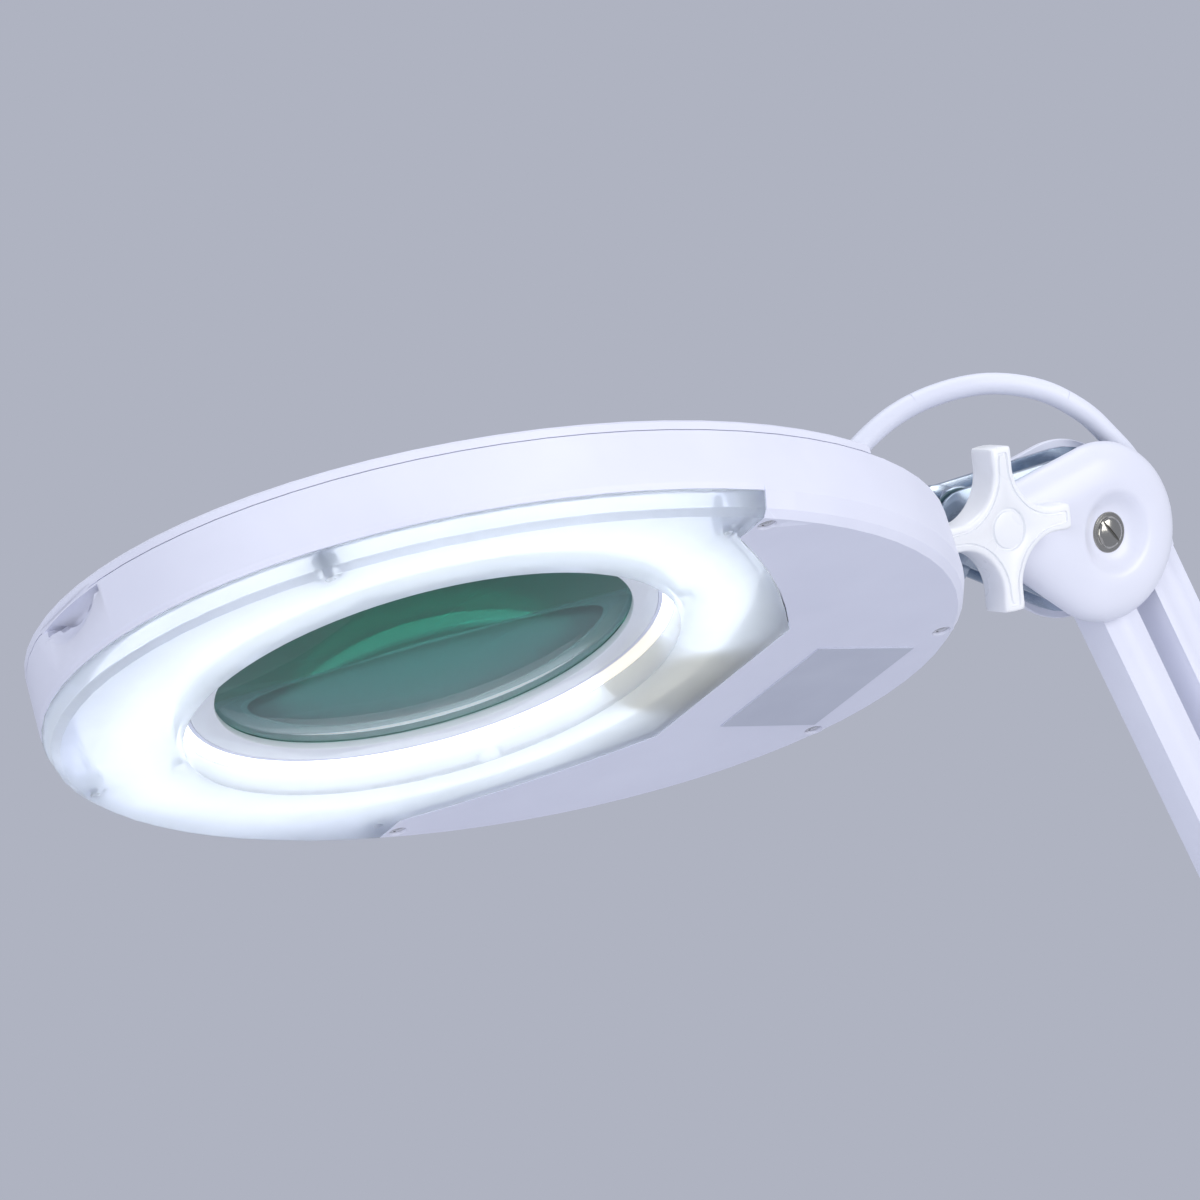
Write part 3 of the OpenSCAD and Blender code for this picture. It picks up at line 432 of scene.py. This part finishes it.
turns = [coil_point(a, coil_place(a)) for a in COIL_ANGLES]
leave = [coil_point(LEAVE_AT + LEAVE_TURN * t, (OUTER + (CORD_D + LEAVE_GAP) * math.sin(t * math.pi / 2),
                                                LOW + CORD_D * math.cos(t * math.pi / 2)))
         for t in (0, 0.25, 0.5, 0.75, 1)]
lead = [p * MM for p in curve_through(LEAD_START + turns + leave + LEAD_END, LEAD_FINE)]
lead_piece = cord_tube("lead", lead)
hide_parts("lead_cord", "cord_coil")
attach(lead_piece, "clamp")


def rounded(half_x, half_z, power):
    """Soft-cornered section round the Y axis; a higher power has squarer corners."""
    def corner(half, c):
        return half * math.copysign(abs(c) ** (2 / power), c)
    angles = [2 * math.pi * k / PLUG_SIDES for k in range(PLUG_SIDES)]
    return [(corner(half_x, math.cos(t)), corner(half_z, math.sin(t))) for t in angles]


PLUG_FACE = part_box("mains_plug")[0].y / MM
PLUG_X, PLUG_Z = -128, 7
PLUG_SIDES = 40
# Plug body along Y from its face: distance, half width, half height, corner power
PLUG_FORM = [(0, 15.6, 5.9, 5), (0.6, 16.4, 6.6, 5), (2, 16.8, 6.9, 5), (14, 16.8, 6.9, 5),
             (16, 16.2, 6.9, 4.5), (18, 14.6, 6.6, 4), (22, 11.4, 6.2, 3), (24, 10.9, 6.1, 3),
             (25, 9.9, 5.7, 3), (26, 10.4, 6.0, 3), (27.5, 9.3, 5.6, 3), (28.5, 9.8, 5.9, 3),
             (30, 8.6, 5.4, 2.6), (31, 9.1, 5.7, 2.6), (32.5, 7.4, 5.2, 2.3), (34, 6.2, 4.9, 2),
             (35.6, 5.2, 4.6, 2), (36, 4.4, 4.2, 2)]
plug = loft("plug_body", [[((PLUG_X + x) * MM, (PLUG_FACE + y) * MM, (PLUG_Z + z) * MM)
                           for x, z in rounded(*section)] for y, *section in PLUG_FORM])
dress(plug, "clamp", CORD, ["mains_plug"], angle=CORD_ANGLE)


# ---------------------------------------------------------------- stage and lights
scene = bpy.context.scene
scene.view_settings.view_transform = "Standard"

CLAMP_WALL = 0.006
TABLE_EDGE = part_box("clamp_frame")[1].x - CLAMP_WALL
TABLE_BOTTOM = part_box("clamp_pad")[1].z
TABLE_REACH, TABLE_HALF = 2.2, 1.9  # m, towards the left and to each side
TABLE_ROUND = 0.004


def rounded_slab(name, x0, x1, y0, y1, z0, z1):
    """Slab with its top and bottom edges eased."""
    corners = [(x0, y0), (x1, y0), (x1, y1), (x0, y1)]

    def ring(pull, z):
        return [(x - math.copysign(pull, x - (x0 + x1) / 2), y - math.copysign(pull, y - (y0 + y1) / 2), z)
                for x, y in corners]
    edge, near = TABLE_ROUND, TABLE_ROUND * 0.3
    return loft(name, [ring(edge, z0), ring(near, z0 + near), ring(0, z0 + edge),
                       ring(0, z1 - edge), ring(near, z1 - near), ring(edge, z1)])


floor = rounded_slab("table_top", -TABLE_REACH, TABLE_EDGE, -TABLE_HALF, TABLE_HALF, TABLE_BOTTOM, 0)
floor.data.materials.append(material("table_paper", (206, 208, 217), (212, 214, 222), (0.85, 0.95), grain=80))
smooth(floor, 30)

# The sky that lights the object, and the backdrop that the camera, metal and glass see in its place
SKY_COLOUR, SKY_STRENGTH = srgb(222, 226, 240), 0.62
BACKDROP_COLOUR = srgb(175, 179, 193)
world = bpy.data.worlds.new("world")
scene.world = world
world.use_nodes = True
tree = world.node_tree
sky = tree.nodes["Background"]
sky.inputs["Color"].default_value = SKY_COLOUR
sky.inputs["Strength"].default_value = SKY_STRENGTH
backdrop = tree.nodes.new("ShaderNodeBackground")
backdrop.inputs["Color"].default_value = BACKDROP_COLOUR
backdrop.inputs["Strength"].default_value = 1.0
rays = tree.nodes.new("ShaderNodeLightPath")
sees_backdrop = rays.outputs["Is Camera Ray"]
for kind in ("Is Transmission Ray", "Is Glossy Ray"):
    either = tree.nodes.new("ShaderNodeMath")
    either.operation = "MAXIMUM"
    tree.links.new(sees_backdrop, either.inputs[0])
    tree.links.new(rays.outputs[kind], either.inputs[1])
    sees_backdrop = either.outputs[0]
tree.links.new(sees_backdrop, mix_surface(tree, sky.outputs["Background"], backdrop.outputs["Background"],
                                          "World Output"))

LAMPS_AIM = LENS + Vector((0.15, 0, -0.1))
# Square area lamps: place from the lens and side in metres, power in watts, tint
LAMPS = {"key": ((0.9, -2.2, 0.9), 1.6, 31, (1, 0.99, 0.98)),
         "fill": ((-2.1, -1.4, -0.1), 1.8, 24, (0.97, 0.98, 1)),
         "top": ((0.0, 0.6, 2.2), 1.6, 22, (0.97, 0.98, 1))}
for name, (offset, size, power, tint) in LAMPS.items():
    data = bpy.data.lights.new(name, "AREA")
    data.energy = power
    data.shape = "RECTANGLE"
    data.size = data.size_y = size
    data.color = tint
    lamp = bpy.data.objects.new(name, data)
    scene.collection.objects.link(lamp)
    place = LENS + Vector(offset)
    turn = (LAMPS_AIM - place).to_track_quat("-Z", "Y")
    lamp.matrix_world = Matrix.Translation(place) @ turn.to_matrix().to_4x4()


# ---------------------------------------------------------------- finishes of the CAD nodes
NODE_FINISH = [
    (SHELL, "housing_shell top_cover lens_lid"),
    (STEEL, "lid_hinge_pins housing_screws swivel_stem stem_nut tilt_bolt knuckle_screws knuckle_pins "
            "elbow_screws elbow_pins base_screws base_pins swivel_post clamp_screw clamp_handle plug_pins"),
    (INNER, "lens_ring tube_holder terminal_block"),
    (GLASS, "magnifier_lens"),
    (GLOW, "ring_tube"),
    (BEIGE, "tube_end_cap"),
    (CLEAR, "tube_clips diffuser"),
    (FOIL, "diffuser_screws rating_plate"),
    (DARK, "ballast switch_rocker cord_tie"),
    (CORD, "head_gland cord_arch strain_relief lead_cord cord_coil mains_plug"),
    (ZINC, "stem_washer head_clevis knuckle_plates elbow_plates base_plates"),
    (FIBRE_GROOVE_SHADE, "friction_washers"),
    (COVER, "star_knob knuckle_cover_front knuckle_cover_back cord_bush elbow_cover_front "
            "elbow_cover_back base_cover_front base_cover_back swivel_bush"),
    (PAINT, "upper_tube_a upper_tube_b lower_tube_a lower_tube_b clamp_frame"),
    (WIRE, "upper_spring lower_spring"),
    (RUBBER, "clamp_pad"),
]
for mat, names in NODE_FINISH:
    for name in names.split():
        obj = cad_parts[name]
        if not obj.material_slots:
            obj.data.materials.append(mat)
        for slot in obj.material_slots:
            slot.material = mat


# ---------------------------------------------------------------- softened copies of the crisp CAD solids
WELD, FLAT_DEG = 0.02 * MM, 0.6  # points this close are one, and faces this nearly in line are one


def soft_copy(node, body, slot, mat, width, angle=32):
    """The node's own shape with worked edges and smooth shading, standing for it."""
    bm = bmesh.new()
    bm.from_mesh(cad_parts[node].data)
    bmesh.ops.remove_doubles(bm, verts=bm.verts, dist=WELD)
    bmesh.ops.dissolve_limit(bm, angle_limit=math.radians(FLAT_DEG), verts=bm.verts, edges=bm.edges)
    mesh = bpy.data.meshes.new(f"{node}_soft")
    bm.to_mesh(mesh)
    bm.free()
    obj = bpy.data.objects.new(mesh.name, mesh)
    scene.collection.objects.link(obj)
    dress(obj, body, mat, [node], bevel=width, angle=angle)
    return obj


def pose_y(points, y):
    """(x, z) points in mm at that y, in metres."""
    return [(x * MM, y * MM, z * MM) for x, z in points]


def inset(outline, distance):
    """Closed outline of (x, z) points moved inward, square to itself."""
    n = len(outline)
    moved = []
    for i in range(n):
        a, b = Vector(outline[i - 1]), Vector(outline[(i + 1) % n])
        along = (b - a).normalized()
        moved.append((outline[i][0] - along.y * distance, outline[i][1] + along.x * distance))
    return moved


def circle(mid, r, n):
    return [(mid[0] + r * math.cos(2 * math.pi * k / n), mid[1] + r * math.sin(2 * math.pi * k / n))
            for k in range(n)]


OUTLINE_POINTS, HULL_LINES = 180, 720


def hull_outline(mid, discs):
    """Outline round the discs (x, z, r), as seen from mid at equal angles."""
    def support(angle):
        return max(x * math.cos(angle) + z * math.sin(angle) + r for x, z, r in discs)
    lines = [(a, support(a)) for a in (2 * math.pi * k / HULL_LINES for k in range(HULL_LINES))]
    points = []
    for k in range(OUTLINE_POINTS):
        t = 2 * math.pi * k / OUTLINE_POINTS
        dx, dz = math.cos(t), math.sin(t)
        far = min((h - mid[0] * math.cos(a) - mid[1] * math.sin(a)) / c for a, h in lines
                  if (c := dx * math.cos(a) + dz * math.sin(a)) > 0.05)
        points.append((mid[0] + far * dx, mid[1] + far * dz))
    return points


def flat(vector):
    """The (x, z) of a place in metres, in mm."""
    return (vector.x / MM, vector.z / MM)


# ---------------------------------------------------------------- moulded joint covers
COVER_IN = 9.2  # mm from the arm's middle to the covers' rims
# Cover's side: height above its rim and how far it has pulled in
COVER_SIDE = [(0, 0.35), (0.35, 0.05), (1.2, 0), (2.4, 0.25), (3.6, 0.8), (4.8, 1.7), (5.9, 2.9), (6.9, 4.5),
              (7.7, 6.4), (8.3, 8.7), (8.7, 11.2)]
# Dish round the screw: radius and height
DISH = [(14.6, 8.9), (13.8, 8.75), (12.7, 8.2), (11.2, 6.9), (9.6, 5.7), (8.2, 5.0), (7.0, 4.7)]
HUB_CUT_R, HUB_CUT_SIDES = 9.6, 64  # opening for the washers and the knob's hub


def cover(node, mid, discs, side, body, hub=None):
    """Crowned cover with a dish round its screw, and an opening at the hub if it has one."""
    outline = hull_outline(mid, discs)
    rings = [pose_y(inset(outline, pull), side * (COVER_IN + h)) for h, pull in COVER_SIDE]
    rings += [pose_y(circle(mid, r, OUTLINE_POINTS), side * (COVER_IN + h)) for r, h in DISH]
    obj = loft(f"{node}_moulded", rings)
    if hub:
        ends = (COVER_IN - 2, COVER_IN + 12)
        combine(obj, [loft("hub_cut", [pose_y(circle(hub, HUB_CUT_R, HUB_CUT_SIDES), side * y)
                                     for y in ends])])
    dress(obj, body, COVER, [node], angle=28)


SCREW_FACE = COVER_IN + 6.5
SCREW_R, SCREW_SIDES = 4.9, 48
# Rings of the washer and of the domed head on it: radius, height from the head's face
SCREW_FORM = [(6.6, -2.4), (6.6, -1.7), (6.3, -1.5), (SCREW_R + 0.3, -1.5), (SCREW_R, -1.3), (SCREW_R, -0.9),
              (SCREW_R - 0.25, -0.6), (SCREW_R - 0.9, -0.35), (SCREW_R - 2, -0.14), (SCREW_R - 3.2, -0.04),
              (0.6, 0)]
SLOT_LENGTH, SLOT_WIDTH, SLOT_DEPTH = 14, 1.1, 0.95


def slotted_screw(name, mid, side, body, nodes, turn):
    """Domed screw head with a driver slot, on a washer in the cover's dish."""
    head = loft(name, [pose_y(circle(mid, r, SCREW_SIDES), side * (SCREW_FACE + h)) for r, h in SCREW_FORM])
    c, s = math.cos(turn), math.sin(turn)
    x, z = SLOT_LENGTH / 2, SLOT_WIDTH / 2
    slot = [(mid[0] + a * c - b * s, mid[1] + a * s + b * c) for a, b in ((-x, -z), (x, -z), (x, z), (-x, z))]
    combine(head, [loft("slot_cut", [pose_y(slot, side * (SCREW_FACE - SLOT_DEPTH)),
                                     pose_y(slot, side * (SCREW_FACE + 1))])])
    dress(head, body, NICKEL, nodes, bevel=0.12, angle=30)


k_mid, e_mid, b_mid, bolt = flat(KNUCKLE), flat(ELBOW), flat(BASE), flat(BOLT)
END_R = 25.0  # round ends of the elbow and base covers
KNUCKLE_R, NOSE_AT, NOSE_R = 29.0, 11, 10.0  # knuckle cover: its round end, and its nose past the bolt


def box_discs(node):
    """The two end discs of an upright or slanting oval cover, from its box."""
    low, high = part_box(node)
    wide, tall = (high.x - low.x) / MM, (high.z - low.z) / MM
    dx, dz = (wide - 2 * END_R) / 2, (tall - 2 * END_R) / 2
    x, z = (low.x + high.x) / 2 / MM, (low.z + high.z) / 2 / MM
    return [(x + dx, z + dz, END_R), (x - dx, z - dz, END_R)]


SCREWS = [("knuckle_screws", k_mid, "knuckle", -0.72), ("elbow_screws", e_mid, "elbow", 0.4),
          ("base_screws", b_mid, "post", 2.1)]
for side, label in ((-1, "front"), (1, "back")):
    cover(f"knuckle_cover_{label}", k_mid, [(*k_mid, KNUCKLE_R), (bolt[0] + NOSE_AT, bolt[1], NOSE_R)], side,
          "knuckle", hub=bolt)
    cover(f"elbow_cover_{label}", e_mid, box_discs(f"elbow_cover_{label}"), side, "elbow")
    cover(f"base_cover_{label}", b_mid, box_discs(f"base_cover_{label}"), side, "post")
    for node, mid, body, turn in SCREWS:
        slotted_screw(f"{node}_{label}", mid, side, body, [node] if side < 0 else [], turn)


# ---------------------------------------------------------------- star knob
KNOB_R, KNOB_TILT = 27.0, math.radians(10)
KNOB_FACE, KNOB_BACK, HUB_END = -30.0, -19.0, -15.3
HUB_R, HUB_EDGE_R = 9.0, 8.6
LOBE_AWAY, LOBE_HOLLOW = 1.05, 0.6  # middles and radii of the hollows between the lobes, as shares of KNOB_R
STAR_POINTS, STAR_EASING = 720, 5


def star_outline(pull=0.0):
    """Outline of the four-lobed knob, pulled in by that much, at equal angles with its corners eased."""
    n = STAR_POINTS
    tip, away, hollow = KNOB_R - 1 - pull, LOBE_AWAY * KNOB_R, LOBE_HOLLOW * KNOB_R + pull
    reach = []
    for k in range(n):
        t = 2 * math.pi * k / n
        r = tip
        for quarter in range(4):
            phi = t - (math.pi / 4 + quarter * math.pi / 2)
            if math.cos(phi) > 0 and abs(away * math.sin(phi)) < hollow:
                r = min(r, away * math.cos(phi) - math.sqrt(hollow ** 2 - (away * math.sin(phi)) ** 2))
        reach.append(r)
    for _ in range(STAR_EASING):
        reach = [(reach[i - 1] + reach[i] * 2 + reach[(i + 1) % n]) / 4 for i in range(n)]
    angles = [2 * math.pi * k / n + KNOB_TILT for k in range(n)]
    return [(bolt[0] + r * math.cos(t), bolt[1] + r * math.sin(t)) for r, t in zip(reach, angles)]


def round_at(star, r):
    """Circle of that radius with a point in line with each point of the star."""
    out = []
    for x, z in star:
        v = Vector((x - bolt[0], z - bolt[1])).normalized() * r
        out.append((bolt[0] + v.x, bolt[1] + v.y))
    return out


star = star_outline()
# From the back, round the rim and over the face with its groove: how far in from the star's rim, and y
KNOB_SIDE = [(1.4, KNOB_BACK), (0.5, KNOB_BACK - 0.4), (0.0, KNOB_BACK - 1.4), (0.0, KNOB_FACE + 1.6),
             (0.15, KNOB_FACE + 0.7), (0.5, KNOB_FACE + 0.2), (1.0, KNOB_FACE), (1.8, KNOB_FACE),
             (2.0, KNOB_FACE + 0.6), (2.5, KNOB_FACE + 0.6), (2.75, KNOB_FACE)]
# Round the cap in the face's middle: radius and y
KNOB_CENTRE = [(7.0, KNOB_FACE), (6.8, KNOB_FACE + 0.15), (6.6, KNOB_FACE + 0.8), (6.0, KNOB_FACE + 0.8),
               (5.7, KNOB_FACE + 0.15), (4.9, KNOB_FACE), (1.5, KNOB_FACE)]
knob_rings = [pose_y(round_at(star, HUB_EDGE_R), HUB_END), pose_y(round_at(star, HUB_R), HUB_END - 0.5),
              pose_y(round_at(star, HUB_R), KNOB_BACK + 0.3)]
knob_rings += [pose_y(star_outline(pull), y) for pull, y in KNOB_SIDE]
knob_rings += [pose_y(round_at(star, r), y) for r, y in KNOB_CENTRE]
dress(loft("knob_moulded", knob_rings), "knob", KNOB, ["star_knob"], angle=40)

# ---------------------------------------------------------------- arm tubes, plates and clamp
# Each node's body, slot, material and width of its worked edges in mm
ARM_COPIES = {
    "upper_tube_a": ("upper_bar_a", "tube_paint", PAINT, 0.9),
    "upper_tube_b": ("upper_bar_b", "tube_paint", PAINT, 0.9),
    "lower_tube_a": ("lower_bar_a", "tube_paint", PAINT, 0.9),
    "lower_tube_b": ("lower_bar_b", "tube_paint", PAINT, 0.9),
    "knuckle_plates": ("knuckle", "zinc_plate", ZINC, 0.3),
    "elbow_plates": ("elbow", "zinc_plate", ZINC, 0.3),
    "base_plates": ("post", "zinc_plate", ZINC, 0.3),
    "head_clevis": ("clevis", "zinc_plate", ZINC, 0.4),
    "clamp_frame": ("clamp", "tube_paint", PAINT, 1.0),
    "clamp_pad": ("pad", "pad_rubber", RUBBER, 0.8),
    "swivel_bush": ("clamp", "cover_plastic", COVER, 0.6),
    "swivel_post": ("post", "bright_steel", STEEL, 0.3),
    "clamp_screw": ("screw", "bright_steel", STEEL, 0.3),
    "cord_tie": ("clamp", "dark_plastic", DARK, 0.5),
    "strain_relief": ("clamp", "cord_pvc", CORD, 0.25),
    "switch_rocker": ("rocker", "dark_plastic", DARK, 0.6),
}
for node, finish in ARM_COPIES.items():
    soft_copy(node, *finish)

# ---------------------------------------------------------------- head
HEAD_ANGLE = 24  # degrees: sharper edges of the shell's copies stay sharp
HEAD_COPIES = {
    "housing_shell": ("head", "white_shell", SHELL, 0.0),
    "top_cover": ("head", "white_shell", SHELL, 0.0),
    "lens_lid": ("lid", "white_shell", SHELL, 0.0),
    "lens_ring": ("head", "white_inner", INNER, 0.4),
}
head_copies = {node: soft_copy(node, *finish, angle=HEAD_ANGLE) for node, finish in HEAD_COPIES.items()}
soft_copy("diffuser", "head", "clear_plastic", CLEAR, 0, angle=30)

# Finger notch under the lid at the head's tip: the wall's rim is cut down in front of a recessed face
OVAL_X, OVAL_A, OVAL_B = 31.4, 146.2, 110.0  # middle and half sizes of an oval inside the wall's thickness
NOTCH_Y, NOTCH_HALF = -3.5, 17.0
# Blocks along the wall: how much wider than half the notch, the near and the far side's distance outside the
# oval, and the heights that they start and end at
NOTCH_POCKET = (3, 1.9, -6, 12, 25.5)
NOTCH_SLOT = (-2, 9, -3.4, 22.6, 25.56)
NOTCH_MOAT = (-3, 0.4, -3.4, 19.5, 23)
NOTCH_CEILING = (1, 3.7, -6, 24.9, 25.5)
SCOOP_OUT, SCOOP_H = 11.4, 26  # the scoop's middle: distance outside the oval, and height
SCOOP_X, SCOOP_Y, SCOOP_Z = 12.3, 20, 13  # its half sizes
SCOOP_SIDES, SCOOP_RINGS = 72, range(-86, 87, 4)  # its rings lie at these angles, in degrees
WALL_STEPS = 32


def oval_x(y, out):
    """The head outline's x at that y on the tip's side, that far outside the oval."""
    return OVAL_X - (OVAL_A + out) * math.sqrt(1 - (y / (OVAL_B + out)) ** 2)


def along_wall(name, wider, near, far, low, high):
    """Block that follows the wall at the notch."""
    half = NOTCH_HALF + wider
    places = [NOTCH_Y + half * (-1 + 2 * k / WALL_STEPS) for k in range(WALL_STEPS + 1)]
    return loft(name, [[(oval_x(y, near), y, low), (oval_x(y, far), y, low), (oval_x(y, far), y, high),
                        (oval_x(y, near), y, high)] for y in places], HEAD_MM)


def notch_tools():
    """A scoop out of the wall's face and, above it, a slot under the lid and a moat behind the rim."""
    middle = oval_x(NOTCH_Y, SCOOP_OUT)
    scoop = loft("scoop", [[(middle + SCOOP_X * math.cos(a) * math.cos(t),
                             NOTCH_Y + SCOOP_Y * math.cos(a) * math.sin(t), SCOOP_H + SCOOP_Z * math.sin(a))
                            for t in (2 * math.pi * k / SCOOP_SIDES for k in range(SCOOP_SIDES))]
                           for a in (math.radians(d) for d in SCOOP_RINGS)], HEAD_MM)
    return [scoop, along_wall("slot", *NOTCH_SLOT), along_wall("moat", *NOTCH_MOAT)]


shell, inner = head_copies["housing_shell"], head_copies["top_cover"]
combine(shell, [along_wall("pocket", *NOTCH_POCKET)], "UNION")
combine(inner, notch_tools())
combine(shell, notch_tools())
combine(shell, [along_wall("ceiling", *NOTCH_CEILING)], "UNION")
for obj in (shell, inner):
    smooth(obj, HEAD_ANGLE)

# ---------------------------------------------------------------- lens
# Radius, height of the lower rim, rim thickness, radius of each face, in mm
LENS_R, LENS_SEAT, LENS_EDGE, FACE_R = 64.4, 12.5, 4.0, 348.0
LENS_EASE = 0.4  # ground-off edge
LENS_RINGS, LENS_SIDES = 30, 192


def lens_face(r):
    """How far the face stands out past its rim at that radius."""
    return math.sqrt(FACE_R ** 2 - r ** 2) - math.sqrt(FACE_R ** 2 - LENS_R ** 2)


steps = [LENS_R * math.sin(math.pi / 2 * k / LENS_RINGS) for k in range(1, LENS_RINGS)]
lens_profile = [(r, LENS_SEAT - lens_face(r)) for r in steps]
lens_profile += [(LENS_R - LENS_EASE, LENS_SEAT), (LENS_R, LENS_SEAT + LENS_EASE),
                 (LENS_R, LENS_SEAT + LENS_EDGE - LENS_EASE), (LENS_R - LENS_EASE, LENS_SEAT + LENS_EDGE)]
lens_profile += [(r, LENS_SEAT + LENS_EDGE + lens_face(r)) for r in reversed(steps)]
dress(revolve("lens_ground", lens_profile, HEAD_MM, LENS_SIDES), "head", GLASS,
      ["magnifier_lens"], angle=30)
